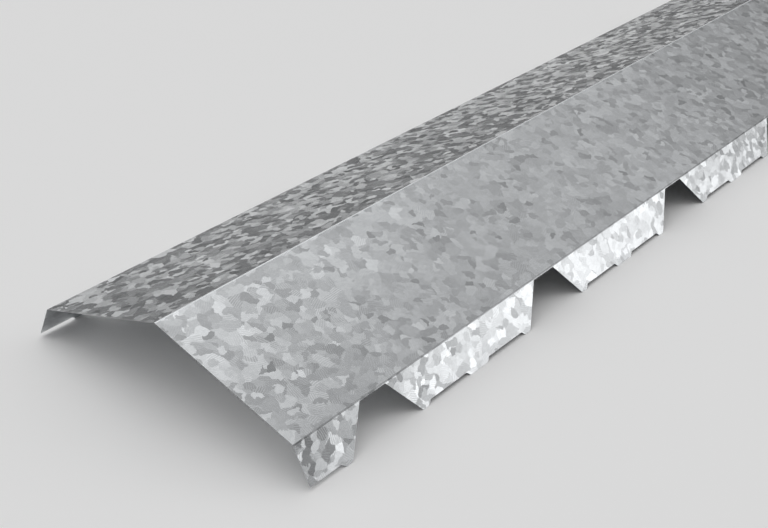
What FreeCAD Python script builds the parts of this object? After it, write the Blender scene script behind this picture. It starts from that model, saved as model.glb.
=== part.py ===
"""Notched roof ridge cap, folded from one galvanised steel sheet.

Two flat wings meet at the ridge. The outer edge of each wing folds down into an apron that is
notched to the roof sheet below it: a wide gap passes each main rib, and two shallow notches in
every tab between them clear the small stiffening ribs of the sheet's pan. The tabs' feet close
the pan against rain and birds.

Millimetres and degrees. +Z is up and the ridge runs along Y. The origin is at the middle of the
length, under the ridge, on the level of the feet. The front end is at the lowest Y.
"""

import FreeCAD, Part
import math
import os

# The folded sheet
LENGTH = 3050.0
SHEET = 0.5
WING_WIDTH = 215.0         # outer face, from the ridge's corner to the apron's corner
RIDGE_ANGLE = 145.0        # between the two wings
APRON_ANGLE = 135.0        # between a wing and its apron
RIDGE_BEND_RADIUS = 2.0    # inside of the bend
APRON_BEND_RADIUS = 1.0    # inside of the bend

# The main ribs of the roof sheet that the cap straddles
RIB_PITCH = 333.33
RIB_HEIGHT = 38.5          # square to the sheet, and the depth that the aprons reach down
RIB_CREST_WIDTH = 40.0
RIB_BASE_WIDTH = 117.0
RIB_CLEARANCE = 1.6        # on each flank of a rib
FIRST_RIB = 124.3          # from the front end to the middle of the first rib
LIP = 2.1                  # apron left above a rib gap, down from the bend's corner

# The feet that stand in a pan between two ribs, and the notches between the feet
CENTRE_FOOT = 34.0         # between the two notches
OUTER_FOOT = 10.7          # from a notch to the rib gap beside it
NOTCH_HEIGHT = 3.75        # square to the sheet, over a small stiffening rib
NOTCH_FLANK = 5.5          # run of each sloping side of a notch, along the cap

# The punched edge
CORNER_RADIUS = 1.0
BLANK_SPARE = 3.0          # depth of the blank below the feet, before it is punched
PUNCH_OVERRUN = 6.0        # reach of the punch past the blank's edge and both its faces

# Limits of a rounded corner
LARGEST_SHARE = 0.49       # of a run that the arc at one of its ends may take
STRAIGHT = 1e-6            # a smaller turn, in radians, is no corner

# Angles that follow from the two bends, from the horizontal
WING_SLOPE = math.radians(180.0 - RIDGE_ANGLE) / 2
APRON_BEND = math.radians(180.0 - APRON_ANGLE)
APRON_SLOPE = WING_SLOPE + APRON_BEND

# Depths along the apron's own face, from the corner of its bend
APRON_DEPTH = RIB_HEIGHT / math.sin(APRON_BEND)
NOTCH_DEPTH = NOTCH_HEIGHT / math.sin(APRON_BEND)

# Widths along the cap
GAP_BASE_WIDTH = RIB_BASE_WIDTH + 2 * RIB_CLEARANCE
GAP_TOP_WIDTH = RIB_CREST_WIDTH + 2 * RIB_CLEARANCE
PAN_WIDTH = RIB_PITCH - GAP_BASE_WIDTH
NOTCH_BASE_WIDTH = (PAN_WIDTH - CENTRE_FOOT) / 2 - OUTER_FOOT
NOTCH_TOP_WIDTH = NOTCH_BASE_WIDTH - 2 * NOTCH_FLANK
NOTCH_FROM_PAN_CENTRE = (CENTRE_FOOT + NOTCH_BASE_WIDTH) / 2


def down(slope):
    """Direction in the XZ plane of a face that falls outward at that slope."""
    return FreeCAD.Vector(math.cos(slope), 0, -math.sin(slope))


def outward(slope):
    """Outward normal of the face that falls at that slope."""
    return FreeCAD.Vector(math.sin(slope), 0, math.cos(slope))


def mirrored(point):
    """The same place on the other side of the ridge."""
    return FreeCAD.Vector(-point.x, point.y, point.z)


def rounded_outline(points, radii):
    """Closed wire through the points, with an arc of the given radius at each corner.

    A radius is cut down where the runs beside its corner are too short for it.
    """
    count = len(points)
    arc_starts = list(points)
    arc_ends = list(points)
    arcs = {}
    for i, point in enumerate(points):
        back = points[i - 1] - point
        ahead = points[(i + 1) % count] - point
        half_turn = (math.pi - back.getAngle(ahead)) / 2
        if radii[i] <= 0 or half_turn < STRAIGHT:
            continue
        room = LARGEST_SHARE * min(back.Length, ahead.Length)
        tangent = min(radii[i] * math.tan(half_turn), room)
        radius = tangent / math.tan(half_turn)
        back.normalize()
        ahead.normalize()
        arc_starts[i] = point + back * tangent
        arc_ends[i] = point + ahead * tangent
        towards_centre = (back + ahead).normalize()
        arc_middle = point + towards_centre * (radius / math.cos(half_turn) - radius)
        arcs[i] = Part.Arc(arc_starts[i], arc_middle, arc_ends[i]).toShape()
    edges = []
    for i in range(count):
        if i in arcs:
            edges.append(arcs[i])
        edges.append(Part.makeLine(arc_ends[i], arc_starts[(i + 1) % count]))
    return Part.Wire(edges)


def half_section(apron_length):
    """Outer and inner corners of one side, ridge first, with the ridge at the height 0."""
    ridge = FreeCAD.Vector(0, 0, 0)
    fold = ridge + down(WING_SLOPE) * WING_WIDTH
    edge = fold + down(APRON_SLOPE) * apron_length
    ridge_inside = ridge - FreeCAD.Vector(0, 0, SHEET / math.cos(WING_SLOPE))
    bisector = (outward(WING_SLOPE) + outward(APRON_SLOPE)).normalize()
    fold_inside = fold - bisector * (SHEET / math.cos(APRON_BEND / 2))
    edge_inside = edge - outward(APRON_SLOPE) * SHEET
    return [ridge, fold, edge], [ridge_inside, fold_inside, edge_inside]


def front_ridge():
    """Corner of the ridge at the front end, over feet whose inside corners are at 0."""
    lowest = half_section(APRON_DEPTH)[1][-1]
    return FreeCAD.Vector(0, -LENGTH / 2, -lowest.z)


def folded_blank():
    """The bent sheet before its aprons are punched, with spare depth on both aprons."""
    outer, inner = half_section(APRON_DEPTH + BLANK_SPARE)
    outer_radii = [RIDGE_BEND_RADIUS + SHEET, APRON_BEND_RADIUS + SHEET, 0]
    inner_radii = [RIDGE_BEND_RADIUS, APRON_BEND_RADIUS, 0]
    points = [mirrored(p) for p in reversed(outer[1:])] + outer
    points += list(reversed(inner)) + [mirrored(p) for p in inner[1:]]
    radii = list(reversed(outer_radii[1:])) + outer_radii
    radii += list(reversed(inner_radii)) + inner_radii[1:]
    outline = rounded_outline([front_ridge() + p for p in points], radii)
    return Part.Face(outline).extrude(FreeCAD.Vector(0, LENGTH, 0))


def trapezoid(middle, base_width, top_width, top):
    """Edge of a gap or notch in the apron, as (along the cap, down the apron)."""
    return [
        (middle - base_width / 2, APRON_DEPTH),
        (middle - top_width / 2, top),
        (middle + top_width / 2, top),
        (middle + base_width / 2, APRON_DEPTH),
    ]


def apron_edge():
    """The whole punched edge, from before the front end to past the back end."""
    first = -1 - math.ceil(FIRST_RIB / RIB_PITCH)
    last = 1 + math.ceil((LENGTH - FIRST_RIB) / RIB_PITCH)
    edge = []
    for k in range(first, last + 1):
        rib = FIRST_RIB + k * RIB_PITCH
        edge += trapezoid(rib, GAP_BASE_WIDTH, GAP_TOP_WIDTH, LIP)
        pan = rib + RIB_PITCH / 2
        for side in (-1, 1):
            middle = pan + side * NOTCH_FROM_PAN_CENTRE
            top = APRON_DEPTH - NOTCH_DEPTH
            edge += trapezoid(middle, NOTCH_BASE_WIDTH, NOTCH_TOP_WIDTH, top)
    return edge


def apron_scrap():
    """What the punch takes off the right apron, square to the apron's face."""
    face = outward(APRON_SLOPE)
    fold = half_section(APRON_DEPTH)[0][1]
    above_fold = front_ridge() + fold + face * PUNCH_OVERRUN
    edge = apron_edge()
    below = APRON_DEPTH + BLANK_SPARE + PUNCH_OVERRUN
    outline = [(edge[0][0], below)] + edge + [(edge[-1][0], below)]
    points = [
        above_fold + FreeCAD.Vector(0, along, 0) + down(APRON_SLOPE) * depth
        for along, depth in outline
    ]
    radii = [0] + [CORNER_RADIUS] * len(edge) + [0]
    scrap = Part.Face(rounded_outline(points, radii))
    return scrap.extrude(face * -(SHEET + 2 * PUNCH_OVERRUN))


def ridge_cap():
    """The folded sheet with both aprons punched."""
    right = apron_scrap()
    left = right.mirror(FreeCAD.Vector(0, 0, 0), FreeCAD.Vector(1, 0, 0))
    return folded_blank().cut(right).cut(left)


def main():
    os.makedirs("parts", exist_ok=True)
    cap = ridge_cap()
    cap.exportStep("parts/ridge_cap.step")
    box = cap.BoundBox
    print("solids", len(cap.Solids), "valid", cap.isValid(), "faces", len(cap.Faces))
    print("volume", round(cap.Volume, 1), "size", box.XLength, box.YLength, box.ZLength)


main()
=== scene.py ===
"""Looks of the roof ridge cap: spangled galvanised steel in a plain pale studio.

Metres, in the part's own frame: +Z up, the ridge along Y, the front end at the lowest Y.
"""

import math

import bpy
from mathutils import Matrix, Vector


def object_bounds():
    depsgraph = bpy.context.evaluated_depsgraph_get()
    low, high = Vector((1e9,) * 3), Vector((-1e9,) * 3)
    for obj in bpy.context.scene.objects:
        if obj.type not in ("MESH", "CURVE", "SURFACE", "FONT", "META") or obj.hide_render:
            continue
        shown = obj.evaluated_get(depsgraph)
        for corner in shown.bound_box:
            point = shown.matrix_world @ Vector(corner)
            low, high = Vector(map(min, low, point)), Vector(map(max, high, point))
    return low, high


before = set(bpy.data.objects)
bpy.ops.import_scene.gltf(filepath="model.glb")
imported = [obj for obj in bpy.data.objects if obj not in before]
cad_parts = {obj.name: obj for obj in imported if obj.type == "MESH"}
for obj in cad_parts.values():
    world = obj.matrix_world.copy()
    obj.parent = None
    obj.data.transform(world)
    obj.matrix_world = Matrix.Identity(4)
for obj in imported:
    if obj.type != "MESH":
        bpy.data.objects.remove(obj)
cad_low, cad_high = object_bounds()

# The folded sheet
NODE = "ridge_cap"
LENGTHWISE = (0, 1, 0)
WING_SLOPE = math.radians(17.5)
RIDGE_HEIGHT = cad_high[2]
FOLD_PLACE = 0.2156                # on the sheet, from the ridge to the middle of a fold

# The pattern of the zinc coating
PATTERN_PLACE = (1.932, 2.638)     # moves it across and along
UNDERSIDE_SHIFT = 7.0              # moves it along again, so that the sheet's two faces differ
NOISE_MIDDLE = (0.5, 0.5, 0.5)
WAVE_DETAIL = 1.0

# The grains: large ones, and small ones that lie over them
LARGE_GRAIN = 0.017                # pitch
SMALL_GRAIN = 0.0100
SMALL_SHARE = 0.50                 # of the small grains that show
SMALL_REACH = 0.78                 # from a small grain's middle to its edge, in pitches
SMALL_BLUR = 0.03                  # half the width of that edge, in pitches
EDGE_MIDDLE = 0.5                  # how far the small grain shows half way through that edge
RAGGED_EDGES = [(0.016, 0.012), (0.005, 0.004), (0.0018, 0.0012)]    # waves' length and reach
LARGE_TONES = [(0.0, 0.81), (0.3, 0.895), (0.7, 0.965), (1.0, 1.03)]
SMALL_TONES = [(0.0, 0.62), (0.15, 0.74), (0.4, 0.875), (0.7, 0.955), (1.0, 1.05)]
TILT_ALONG = 0.054                 # largest slope of a grain's facet along the cap
TILT_ACROSS = 0.058
GRAIN_ROUGHNESS = (0.145, 0.215)

# The feathers in a grain: straight arms on both sides of a stem
ARM_PITCH = 0.0026
ARM_LEAN = 0.15                    # largest slant of the arms to their stem
ARM_BENDS = [(0.020, 0.004)]       # waves' length and reach
ARM_TONE = 0.10
ARM_TILT = 0.020
PLAIN_SHARE = 0.15                 # of the grains that have no feathers

# Factors that turn a grain's random numbers into further ones
LEAN_FACTOR = 7.3
FEATHER_FACTOR = 19.7
TILT_ALONG_FACTOR = 13.1
TILT_ACROSS_FACTOR = 11.9
GLOSS_FACTOR = 5.1

# The coating's colour, and its clouds
ZINC = (0.727, 0.746, 0.762)
ZINC_METAL = 0.85
CLOUDS = [(0.005, 0.96, 1.04), (0.30, 0.97, 1.03)]    # wave length, darkest and lightest
CLOUD_DETAIL = 3.0
CLOUD_NOISE = (0.3, 0.7)           # noise that is darkest and lightest

# A painted highlight along the ridge, where the sheet is also rougher, and painted shade along both
# folds
PAINTED_LINE_HALF_WIDTH = 0.0009                 # half its width
PAINTED_LINE_BLUR = 0.0004
RIDGE_HIGHLIGHT_TONE = 1.3
RIDGE_ROUGHNESS = 0.44
FOLD_SHADE_TONE = 0.43

# The sheared edges, which are bare steel, and what tells them from the sheet's two faces
SHEARED = (0.40, 0.40, 0.41)
SHEARED_ROUGHNESS = 0.45
END_FACING = 0.5                   # least part of a normal along the cap
OUTWARD_FACING = 0.2               # least part of it away from the ridge
DOWN_FACING = -0.5                 # largest part of it upwards

# The studio: a grey sky, brightest overhead, with a wide soft glow over the horizon and round
# ones higher up, and a pale floor. A height is the upward part of a direction of length 1, and
# bearings are in degrees from +X towards +Y.
SKY_LEVELS = [(0.0, 0.125), (0.25, 0.108), (0.5, 0.40), (0.63, 0.61),
              (0.75, 0.368), (0.86, 0.27), (0.92, 1.15), (1.0, 1.18)]    # height, level
LOW_GLOW_BEARING = 47.9
LOW_GLOW_REACH = (0.20, 0.589)     # sideways and upwards, to where a third of it is left
LOW_GLOW_LEVEL = 1.64
HIGH_GLOWS = [(130.0, 0.79, 0.22, 0.95), (215.0, 0.60, 0.58, 0.76)]    # bearing, height, reach, level
FLOOR_LEVEL = 0.95
FLOOR_ROUGHNESS = 0.9
FLOOR_HALF_SIDE = 200.0

# The camera, from the photograph's perspective
PHOTO_WIDTH = 768
FOCAL_PIXELS = 1242.25
SENSOR_WIDTH = 36.0
CAMERA_PLACE = (0.9291, -2.2353, 0.8428)
CAMERA_ANGLES = (60.096, 0.222, 40.093)
CAMERA_SIGHT = 100.0

# Sockets of the node that mixes: the factor, the low and the high value, and its colour output
NUMBER_SOCKETS = (0, 2, 3)
COLOUR_SOCKETS = (0, 6, 7)
COLOUR_OUTPUT = 2


class Graph:
    """Adds nodes to one node tree and returns their outputs."""

    def __init__(self, tree):
        self.tree = tree

    def add(self, kind, **settings):
        node = self.tree.nodes.new("ShaderNode" + kind)
        for name, value in settings.items():
            setattr(node, name, value)
        return node

    def feed(self, socket, value):
        """Links an output to the socket, or sets a plain value on it."""
        if isinstance(value, bpy.types.NodeSocket):
            self.tree.links.new(value, socket)
        else:
            socket.default_value = value

    def math(self, operation, *values):
        node = self.add("Math", operation=operation)
        for socket, value in zip(node.inputs, values):
            self.feed(socket, value)
        return node.outputs[0]

    def vector(self, operation, *values):
        node = self.add("VectorMath", operation=operation)
        for socket, value in zip(node.inputs, values):
            self.feed(socket, value)
        return node.outputs["Vector"]

    def dot(self, one, two):
        node = self.add("VectorMath", operation="DOT_PRODUCT")
        self.feed(node.inputs[0], one)
        self.feed(node.inputs[1], two)
        return node.outputs["Value"]

    def scaled(self, vector, factor):
        node = self.add("VectorMath", operation="SCALE")
        self.feed(node.inputs[0], vector)
        self.feed(node.inputs["Scale"], factor)
        return node.outputs["Vector"]

    def parts(self, vector):
        node = self.add("SeparateXYZ")
        self.feed(node.inputs[0], vector)
        return node.outputs

    def joined(self, x, y, z=0.0):
        node = self.add("CombineXYZ")
        for socket, value in zip(node.inputs, (x, y, z)):
            self.feed(socket, value)
        return node.outputs[0]

    def remap(self, value, low, high, new_low=0.0, new_high=1.0):
        """Maps low..high to new_low..new_high and clamps there."""
        node = self.add("MapRange")
        for socket, given in zip(node.inputs, (value, low, high, new_low, new_high)):
            self.feed(socket, given)
        return node.outputs[0]

    def between(self, factor, low, high):
        """A number that goes from low to high with the factor."""
        node = self.add("Mix", data_type="FLOAT")
        for place, value in zip(NUMBER_SOCKETS, (factor, low, high)):
            self.feed(node.inputs[place], value)
        return node.outputs[0]

    def colour_between(self, factor, low, high):
        """A colour that goes from low to high with the factor."""
        node = self.add("Mix", data_type="RGBA")
        for place, value in zip(COLOUR_SOCKETS, (factor, low, high)):
            self.feed(node.inputs[place], value)
        return node.outputs[COLOUR_OUTPUT]

    def noise(self, place, length, detail):
        """Noise over a plane, whose waves are about that long."""
        node = self.add("TexNoise", noise_dimensions="2D")
        self.feed(node.inputs["Vector"], place)
        node.inputs["Scale"].default_value = 1 / length
        node.inputs["Detail"].default_value = detail
        return node.outputs

    def ramp(self, value, stops):
        """Straight runs through the stops, each a place and a level, from place 0 to place 1."""
        node = self.add("ValToRGB")
        elements = node.color_ramp.elements
        for place, _ in stops[1:-1]:
            elements.new(place)
        for element, (_, level) in zip(elements, stops):
            element.color = (level, level, level, 1)
        self.feed(node.inputs[0], value)
        return node.outputs["Color"]


def unrolled(graph):
    """Place on the sheet as if it were flat: across from the ridge, and along it.

    On a wing, the fall below the ridge and the distance from it both grow with the width, and
    their sum, scaled, is the width. Down an apron the sum grows about as fast.
    """
    coordinates = graph.add("TexCoord")
    x, y, z = graph.parts(coordinates.outputs["Object"])
    fall = graph.math("SUBTRACT", RIDGE_HEIGHT, z)
    across = graph.math("MULTIPLY_ADD", graph.math("SIGN", x), fall, x)
    across = graph.math("DIVIDE", across, math.cos(WING_SLOPE) + math.sin(WING_SLOPE))
    facing = graph.parts(coordinates.outputs["Normal"])[2]
    under = graph.math("LESS_THAN", facing, 0.0)
    along = graph.math("MULTIPLY_ADD", under, UNDERSIDE_SHIFT, y)
    return across, along


def waved(graph, place, waves):
    """The place moved by waves, each with a length and a reach."""
    moved = place
    for length, reach in waves:
        noise = graph.noise(place, length, WAVE_DETAIL)["Color"]
        wave = graph.vector("SUBTRACT", noise, NOISE_MIDDLE)
        moved = graph.vector("ADD", moved, graph.scaled(wave, reach))
    return moved


def cells(graph, place, pitch):
    """Three random numbers of the nearest cell, its middle, and the distance to it in pitches."""
    node = graph.add("TexVoronoi", voronoi_dimensions="2D", feature="F1")
    graph.feed(node.inputs["Vector"], place)
    node.inputs["Scale"].default_value = 1 / pitch
    randoms = graph.parts(node.outputs["Color"])
    middle = graph.parts(node.outputs["Position"])
    return randoms, middle, node.outputs["Distance"]


def other(graph, random, factor):
    """Another random number, of 0 to 1, for the same grain."""
    return graph.math("FRACT", graph.math("MULTIPLY", random, factor))


def grains(graph, place):
    """The grain at each place: two random numbers, its middle, and its tone."""
    (_, large_first, large_second), large_middle, _ = cells(graph, place, LARGE_GRAIN)
    (draw, small_first, small_second), small_middle, distance = cells(graph, place, SMALL_GRAIN)
    inside = graph.remap(distance, SMALL_REACH - SMALL_BLUR, SMALL_REACH + SMALL_BLUR, 1.0, 0.0)
    over = graph.math("MULTIPLY", graph.math("LESS_THAN", draw, SMALL_SHARE), inside)
    chosen = graph.math("GREATER_THAN", over, EDGE_MIDDLE)
    first = graph.between(chosen, large_first, small_first)
    second = graph.between(chosen, large_second, small_second)
    middle = [graph.between(chosen, large_middle[i], small_middle[i]) for i in range(2)]
    large_tone = graph.ramp(large_first, LARGE_TONES)
    small_tone = graph.ramp(small_first, SMALL_TONES)
    return first, second, middle, graph.between(over, large_tone, small_tone)


def feathers(graph, place, first, second, middle):
    """Height of the wave that a grain's arms make, and the cosine and sine of its stem's turn."""
    turn = graph.math("MULTIPLY", second, 2 * math.pi)
    cosine = graph.math("COSINE", turn)
    sine = graph.math("SINE", turn)
    across, along, _ = graph.parts(place)
    away_across = graph.math("SUBTRACT", across, middle[0])
    away_along = graph.math("SUBTRACT", along, middle[1])
    on_stem = graph.math("MULTIPLY", away_across, cosine)
    on_stem = graph.math("MULTIPLY_ADD", away_along, sine, on_stem)
    off_stem = graph.math("MULTIPLY", away_along, cosine)
    off_stem = graph.math("SUBTRACT", off_stem, graph.math("MULTIPLY", away_across, sine))
    lean = graph.math("MULTIPLY", other(graph, second, LEAN_FACTOR), ARM_LEAN)
    phase = graph.math("MULTIPLY_ADD", graph.math("ABSOLUTE", off_stem), lean, on_stem)
    wave = graph.math("SINE", graph.math("MULTIPLY", phase, 2 * math.pi / ARM_PITCH))
    strength = graph.remap(other(graph, first, FEATHER_FACTOR), PLAIN_SHARE, 1.0)
    return graph.math("MULTIPLY", wave, strength), cosine, sine


def facet(graph, first, second, wave, cosine, sine):
    """The grain's own normal: tilted with its facet, and rippled by its feathers."""
    normal = graph.add("NewGeometry").outputs["Normal"]
    turned = graph.add("VectorTransform", vector_type="VECTOR",
                       convert_from="OBJECT", convert_to="WORLD")
    turned.inputs[0].default_value = LENGTHWISE
    along = turned.outputs[0]
    across = graph.vector("CROSS_PRODUCT", along, normal)
    tilts = [(along, TILT_ALONG, other(graph, first, TILT_ALONG_FACTOR), sine),
             (across, TILT_ACROSS, other(graph, second, TILT_ACROSS_FACTOR), cosine)]
    for direction, steepest, random, share in tilts:
        ripple = graph.math("MULTIPLY", graph.math("MULTIPLY", wave, ARM_TILT), share)
        tilt = graph.remap(random, 0.0, 1.0, -steepest, steepest)
        slope = graph.math("ADD", tilt, ripple)
        normal = graph.vector("ADD", normal, graph.scaled(direction, slope))
    return graph.vector("NORMALIZE", normal)


def sheared(graph):
    """1 on the cut edges of the sheet, and 0 on its two faces.

    A cut edge faces along the cap, or down and outward like the apron's own slope.
    """
    coordinates = graph.add("TexCoord")
    side = graph.math("SIGN", graph.parts(coordinates.outputs["Object"])[0])
    x, y, z = graph.parts(coordinates.outputs["Normal"])
    along = graph.math("GREATER_THAN", graph.math("ABSOLUTE", y), END_FACING)
    outward = graph.math("GREATER_THAN", graph.math("MULTIPLY", side, x), OUTWARD_FACING)
    down = graph.math("LESS_THAN", z, DOWN_FACING)
    return graph.math("MAXIMUM", along, graph.math("MULTIPLY", outward, down))


def painted_bend_mask(graph, away):
    """1 on a bend, where the ridge's painted highlight and the folds' painted shade go, and 0 off it,
    from the distance to its middle.
    """
    return graph.remap(away, PAINTED_LINE_HALF_WIDTH, PAINTED_LINE_HALF_WIDTH + PAINTED_LINE_BLUR, 1.0, 0.0)


def galvanised():
    """Hot-dip zinc with spangles: each grain has its own tone, tilt, gloss and feathers."""
    material = bpy.data.materials.new("galvanised_spangle")
    material.use_nodes = True
    graph = Graph(material.node_tree)
    shader = material.node_tree.nodes["Principled BSDF"]

    across, along = unrolled(graph)
    flat = graph.vector("ADD", graph.joined(across, along), (*PATTERN_PLACE, 0))
    first, second, middle, level = grains(graph, waved(graph, flat, RAGGED_EDGES))
    wave, cosine, sine = feathers(graph, waved(graph, flat, ARM_BENDS), first, second, middle)

    level = graph.math("MULTIPLY", level, graph.math("MULTIPLY_ADD", wave, ARM_TONE, 1.0))
    for length, darkest, lightest in CLOUDS:
        noise = graph.noise(flat, length, CLOUD_DETAIL)["Fac"]
        level = graph.math("MULTIPLY", level, graph.remap(noise, *CLOUD_NOISE, darkest, lightest))

    from_ridge = graph.math("ABSOLUTE", across)
    from_fold = graph.math("ABSOLUTE", graph.math("SUBTRACT", from_ridge, FOLD_PLACE))
    # Painted highlight: the base colour is made lighter along the ridge
    ridge_highlight_mask = painted_bend_mask(graph, from_ridge)
    level = graph.between(ridge_highlight_mask, level, RIDGE_HIGHLIGHT_TONE)
    # Painted shade: the base colour is made darker along both folds
    level = graph.between(painted_bend_mask(graph, from_fold), level, FOLD_SHADE_TONE)
    cut = sheared(graph)
    colour = graph.colour_between(cut, graph.scaled(ZINC, level), (*SHEARED, 1))
    graph.feed(shader.inputs["Base Color"], colour)

    roughness = graph.remap(other(graph, second, GLOSS_FACTOR), 0.0, 1.0, *GRAIN_ROUGHNESS)
    roughness = graph.between(ridge_highlight_mask, roughness, RIDGE_ROUGHNESS)
    roughness = graph.between(cut, roughness, SHEARED_ROUGHNESS)
    graph.feed(shader.inputs["Roughness"], roughness)
    graph.feed(shader.inputs["Normal"], facet(graph, first, second, wave, cosine, sine))
    shader.inputs["Metallic"].default_value = ZINC_METAL
    return material


def pale_floor():
    """A floor that reaches to the horizon."""
    side = FLOOR_HALF_SIDE
    mesh = bpy.data.meshes.new("floor")
    corners = [(-side, -side, 0), (side, -side, 0), (side, side, 0), (-side, side, 0)]
    mesh.from_pydata(corners, [], [(0, 1, 2, 3)])
    floor = bpy.data.objects.new("floor", mesh)
    bpy.context.scene.collection.objects.link(floor)
    material = bpy.data.materials.new("pale_floor")
    material.use_nodes = True
    shader = material.node_tree.nodes["Principled BSDF"]
    shader.inputs["Base Color"].default_value = (FLOOR_LEVEL, FLOOR_LEVEL, FLOOR_LEVEL, 1)
    shader.inputs["Roughness"].default_value = FLOOR_ROUGHNESS
    mesh.materials.append(material)


def glow(graph, away, level):
    """Light of the level where away is zero, which fades with its length."""
    faded = graph.math("EXPONENT", graph.math("MULTIPLY", graph.dot(away, away), -1.0))
    return graph.math("MULTIPLY", faded, level)


def level_directions(bearing):
    """The level direction at the bearing, and the one to its left."""
    turn = math.radians(bearing)
    return (math.cos(turn), math.sin(turn), 0), (-math.sin(turn), math.cos(turn), 0)


def studio_sky():
    """All the light there is: the sky's own levels, with the glows added."""
    world = bpy.data.worlds.new("studio")
    world.use_nodes = True
    bpy.context.scene.world = world
    graph = Graph(world.node_tree)
    direction = graph.add("TexCoord").outputs["Generated"]
    height = graph.parts(direction)[2]
    level = graph.ramp(height, SKY_LEVELS)

    ahead, aside = level_directions(LOW_GLOW_BEARING)
    away = graph.joined(graph.dot(direction, aside), height)
    away = graph.vector("DIVIDE", away, (*LOW_GLOW_REACH, 1))
    in_front = graph.math("GREATER_THAN", graph.dot(direction, ahead), 0.0)
    level = graph.math("MULTIPLY_ADD", glow(graph, away, LOW_GLOW_LEVEL), in_front, level)

    for bearing, rise, reach, peak in HIGH_GLOWS:
        ahead, _ = level_directions(bearing)
        flat = math.sqrt(1 - rise ** 2)
        middle = (flat * ahead[0], flat * ahead[1], rise)
        away = graph.scaled(graph.vector("SUBTRACT", direction, middle), 1 / reach)
        level = graph.math("ADD", level, glow(graph, away, peak))
    graph.feed(world.node_tree.nodes["Background"].inputs["Color"], level)


def camera():
    """The photograph's own viewpoint."""
    data = bpy.data.cameras.new("camera")
    data.sensor_width = SENSOR_WIDTH
    data.lens = SENSOR_WIDTH * FOCAL_PIXELS / PHOTO_WIDTH
    data.clip_end = CAMERA_SIGHT
    eye = bpy.data.objects.new("camera", data)
    eye.location = CAMERA_PLACE
    eye.rotation_euler = [math.radians(angle) for angle in CAMERA_ANGLES]
    bpy.context.scene.collection.objects.link(eye)
    bpy.context.scene.camera = eye


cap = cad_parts[NODE]
cap.data.materials.clear()
cap.data.materials.append(galvanised())
pale_floor()
studio_sky()
camera()
bpy.context.scene.view_settings.view_transform = "Standard"
